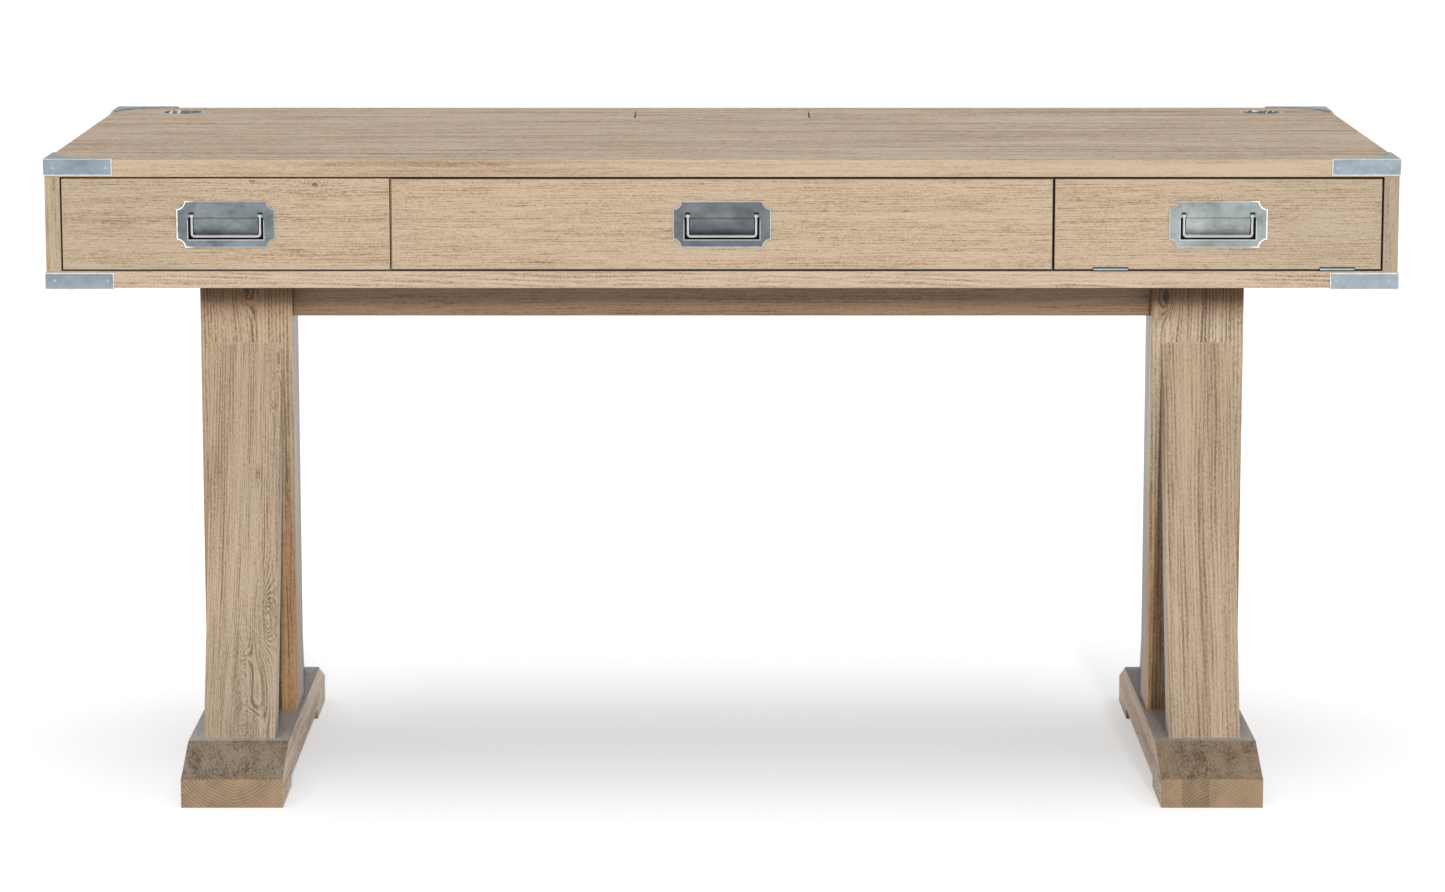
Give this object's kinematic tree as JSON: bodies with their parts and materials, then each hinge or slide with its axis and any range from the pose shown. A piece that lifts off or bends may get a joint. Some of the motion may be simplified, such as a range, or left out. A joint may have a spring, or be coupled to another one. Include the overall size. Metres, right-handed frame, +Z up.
{
  "type": "desk",
  "caption": "Trestle writing desk with drawers, a drop front compartment, metal corner brackets, a cable lid and cable grommets.",
  "frame": {"origin": "on the floor under the middle of the desk, the centre of the bounding box's bottom face", "axes": "+Z up, the drawers and the drop front face -Y, +X to the right of a person who sits at the desk"},
  "size_m": [1.6048, 0.7048, 0.7956],
  "materials": {
    "oak_top": "limed oak veneer, fine straight grain along X, satin",
    "oak_case": "pale oak, fine straight grain, satin",
    "oak_front": "pale oak, fine straight grain along X, satin",
    "oak_inner": "pale oak, unfinished",
    "oak_stand": "pale oak with vertical grain and small knots, satin",
    "drawer_wood": "pale drawer wood, clear varnish",
    "bracket_metal": "satin pewter grey sheet with bright worn edges",
    "pull_metal": "satin pewter grey casting with bright bevels",
    "bail_metal": "satin rod, brighter where hands touch it",
    "grommet_metal": "dark satin metal",
    "fastener_steel": "zinc plated steel",
    "catch_plastic": "dark moulded housing"
  },
  "bodies": {
    "desk": {"back_panel": "oak_inner", "bottom_front_left_bracket": "bracket_metal", "bottom_front_right_bracket": "bracket_metal", "bottom_panel": "oak_case", "bottom_rear_left_bracket": "bracket_metal", "bottom_rear_right_bracket": "bracket_metal", "bracket_pins": "bracket_metal", "catch_magnet": "catch_plastic", "drawer_runners": "drawer_wood", "hinge_case_leaves": "fastener_steel", "hinge_pins": "fastener_steel", "left_divider": "oak_inner", "left_foot": "oak_stand", "left_front_brace": "oak_stand", "left_grommet_ring": "grommet_metal", "left_post": "oak_stand", "left_rear_brace": "oak_stand", "left_side_panel": "oak_case", "post_screws": "fastener_steel", "right_divider": "oak_inner", "right_foot": "oak_stand", "right_front_brace": "oak_stand", "right_grommet_ring": "grommet_metal", "right_post": "oak_stand", "right_rear_brace": "oak_stand", "right_side_panel": "oak_case", "stretcher": "oak_stand", "top_front_left_bracket": "bracket_metal", "top_front_right_bracket": "bracket_metal", "top_panel": "oak_top", "top_rear_left_bracket": "bracket_metal", "top_rear_right_bracket": "bracket_metal"},
    "left_drawer": {"left_drawer_back": "drawer_wood", "left_drawer_bottom": "drawer_wood", "left_drawer_front": "oak_front", "left_drawer_left_side": "drawer_wood", "left_drawer_right_side": "drawer_wood", "left_pull_plate": "pull_metal", "left_pull_screws": "fastener_steel"},
    "centre_drawer": {"centre_drawer_back": "drawer_wood", "centre_drawer_bottom": "drawer_wood", "centre_drawer_front": "oak_front", "centre_drawer_left_side": "drawer_wood", "centre_drawer_right_side": "drawer_wood", "centre_pull_plate": "pull_metal", "centre_pull_screws": "fastener_steel"},
    "drop_front": {"drop_front": "oak_front", "right_pull_plate": "pull_metal", "right_pull_screws": "fastener_steel", "hinge_front_leaves": "fastener_steel", "catch_strike": "fastener_steel"},
    "left_bail": {"left_bail": "bail_metal"},
    "centre_bail": {"centre_bail": "bail_metal"},
    "right_bail": {"right_bail": "bail_metal"},
    "cable_lid": {"cable_lid": "oak_top"},
    "left_grommet_cap": {"left_grommet_cap": "grommet_metal"},
    "right_grommet_cap": {"right_grommet_cap": "grommet_metal"}
  },
  "joints": [
    {"name": "left_drawer_slide", "type": "slide", "parent": "desk", "child": "left_drawer", "axis": [0, -1, 0], "range_m": [0, 0.36]},
    {"name": "centre_drawer_slide", "type": "slide", "parent": "desk", "child": "centre_drawer", "axis": [0, -1, 0], "range_m": [0, 0.36]},
    {"name": "drop_front_hinge", "type": "hinge", "parent": "desk", "child": "drop_front", "pos_m": [0.594, -0.3492, 0.6644], "axis": [1, 0, 0], "range_deg": [0, 90]},
    {"name": "left_bail_swing", "type": "hinge", "parent": "left_drawer", "child": "left_bail", "pos_m": [-0.5865, -0.3491, 0.72785], "axis": [-1, 0, 0], "range_deg": [0, 90]},
    {"name": "centre_bail_swing", "type": "hinge", "parent": "centre_drawer", "child": "centre_bail", "pos_m": [0, -0.3491, 0.72785], "axis": [-1, 0, 0], "range_deg": [0, 90]},
    {"name": "right_bail_swing", "type": "hinge", "parent": "drop_front", "child": "right_bail", "pos_m": [0.5865, -0.3491, 0.72785], "axis": [-1, 0, 0], "range_deg": [0, 90]},
    {"name": "cable_lid_lift", "type": "slide", "parent": "desk", "child": "cable_lid", "axis": [0, 0, 1], "range_m": [0, 0.06]},
    {"name": "left_grommet_cap_turn", "type": "hinge", "parent": "desk", "child": "left_grommet_cap", "pos_m": [-0.7075, 0.283, 0.79], "axis": [0, 0, 1], "continuous": true},
    {"name": "right_grommet_cap_turn", "type": "hinge", "parent": "desk", "child": "right_grommet_cap", "pos_m": [0.7075, 0.283, 0.79], "axis": [0, 0, 1], "continuous": true}
  ]
}
